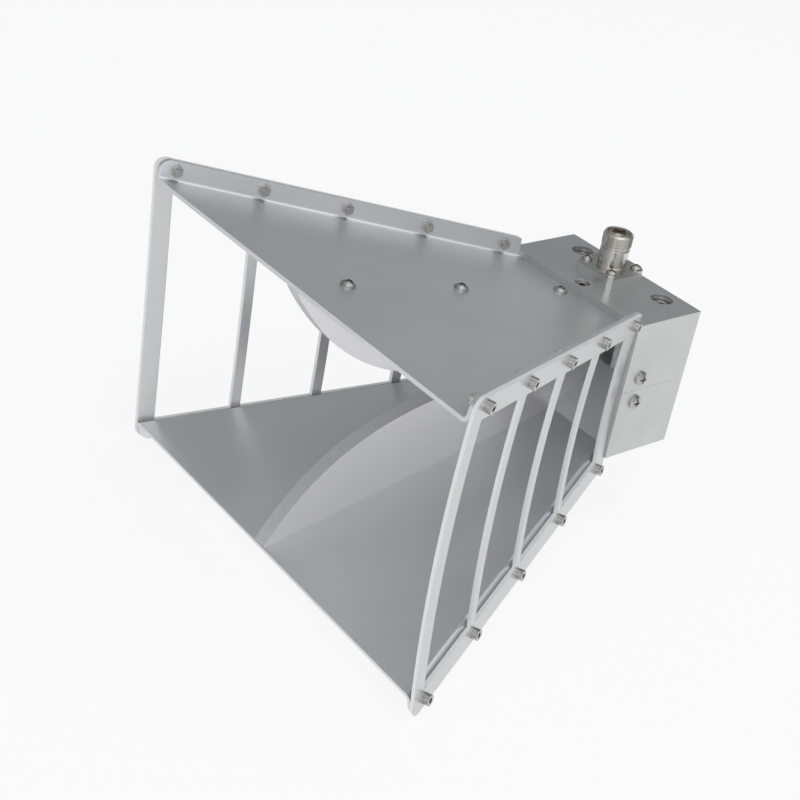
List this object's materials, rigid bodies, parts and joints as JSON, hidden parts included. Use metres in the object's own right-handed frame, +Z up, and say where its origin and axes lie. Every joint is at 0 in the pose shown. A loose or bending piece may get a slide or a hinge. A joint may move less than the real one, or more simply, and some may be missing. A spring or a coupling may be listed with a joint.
{
  "type": "horn antenna",
  "caption": "Flared ridged horn antenna: two folded plates and two open side grids on a feed block, with a threaded coaxial socket on top.",
  "frame": {"origin": "middle of the two bracket holes, on the flat underside of the feed block", "axes": "+Z up, along the coaxial connector; the horn's mouth faces -Y; X runs across the horn, from the left grid to the right one as seen from the mouth's front"},
  "size_m": [0.2462, 0.225, 0.1602],
  "materials": {
    "sheet": "satin rolled sheet",
    "grid": "cut sheet, bright edges",
    "ridge": "milled",
    "block": "milled",
    "plated": "nickel plated",
    "steel": "stainless",
    "insulator": "PTFE",
    "contact": "gold plated"
  },
  "bodies": {
    "root": {"top_plate": "sheet", "bottom_plate": "sheet", "left_grid": "grid", "right_grid": "grid", "top_ridge": "ridge", "bottom_ridge": "ridge", "upper_block": "block", "lower_block": "block", "rear_cover": "block", "connector_base": "block", "connector_shell": "plated", "connector_insulator": "insulator", "centre_contact": "contact", "feed_sleeve": "insulator", "feed_pin": "contact", "connector_screws": "steel", "left_grid_screws": "steel", "right_grid_screws": "steel", "left_grid_nuts": "steel", "right_grid_nuts": "steel", "top_ridge_screws": "steel", "bottom_ridge_screws": "steel", "recessed_screws": "steel", "clamp_screws": "steel", "side_screws": "steel", "cover_screws": "steel"}
  },
  "joints": []
}
